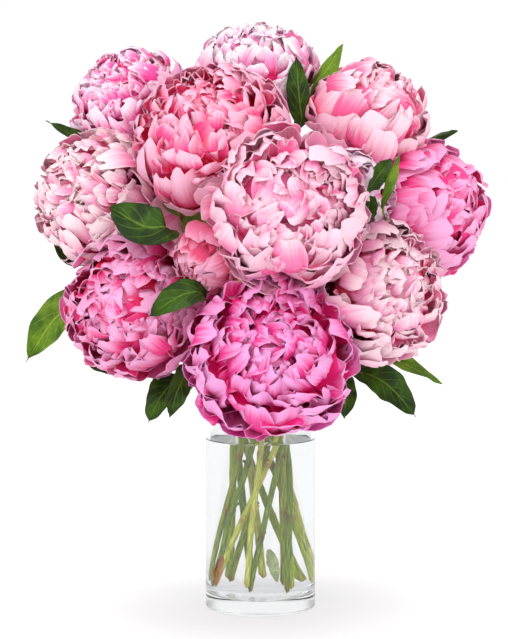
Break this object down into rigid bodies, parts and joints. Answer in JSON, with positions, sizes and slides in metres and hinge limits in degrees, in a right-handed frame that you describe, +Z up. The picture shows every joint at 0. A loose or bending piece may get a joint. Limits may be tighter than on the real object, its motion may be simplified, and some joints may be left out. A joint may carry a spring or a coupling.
{
  "type": "vase of peonies",
  "caption": "Full round bunch of cut double peonies with dark leaves, its stems standing in water in a plain clear glass cylinder vase.",
  "frame": {"origin": "centre of the vase's foot, on the surface it stands on", "axes": "+Z up along the vase's axis, -Y towards the bunch's front, +X to the right of someone facing that front"},
  "size_m": [0.4091, 0.3145, 0.5232],
  "materials": {
    "petals_pale": "matte",
    "petals_soft": "matte",
    "petals_mid": "matte",
    "petals_deep": "matte",
    "stems": "satin",
    "leaves_dark": "satin",
    "leaves_light": "satin",
    "glass": "polished",
    "water": "polished"
  },
  "bodies": {
    "root": {"head_back_left": "petals_soft", "head_back_low": "petals_pale", "head_back_right": "petals_mid", "head_centre": "petals_soft", "head_half_open": "petals_soft", "head_inner_right": "petals_soft", "head_left": "petals_pale", "head_lower_centre": "petals_deep", "head_lower_left": "petals_mid", "head_lower_right": "petals_pale", "head_right": "petals_mid", "head_top": "petals_pale", "head_upper_centre": "petals_mid", "head_upper_left": "petals_mid", "head_upper_right": "petals_soft", "leaf_back_left": "leaves_dark", "leaf_back_left_low": "leaves_dark", "leaf_back_right": "leaves_dark", "leaf_back_right_low": "leaves_dark", "leaf_back_top": "leaves_light", "leaf_bottom_left": "leaves_dark", "leaf_bottom_mid": "leaves_dark", "leaf_bottom_right_far": "leaves_light", "leaf_bottom_right_mid": "leaves_dark", "leaf_bottom_right_near": "leaves_dark", "leaf_left_back": "leaves_dark", "leaf_left_big": "leaves_light", "leaf_left_centre": "leaves_dark", "leaf_left_low": "leaves_dark", "leaf_left_small": "leaves_dark", "leaf_left_under": "leaves_dark", "leaf_right_centre": "leaves_light", "leaf_right_upper": "leaves_dark", "leaf_top_left": "leaves_dark", "leaf_top_right": "leaves_light", "leaf_upper_left": "leaves_dark", "stem_back_left": "stems", "stem_back_low": "stems", "stem_back_right": "stems", "stem_centre": "stems", "stem_half_open": "stems", "stem_inner_right": "stems", "stem_left": "stems", "stem_lower_centre": "stems", "stem_lower_left": "stems", "stem_lower_right": "stems", "stem_right": "stems", "stem_top": "stems", "stem_upper_centre": "stems", "stem_upper_left": "stems", "stem_upper_right": "stems", "vase": "glass", "water": "water"}
  },
  "joints": []
}
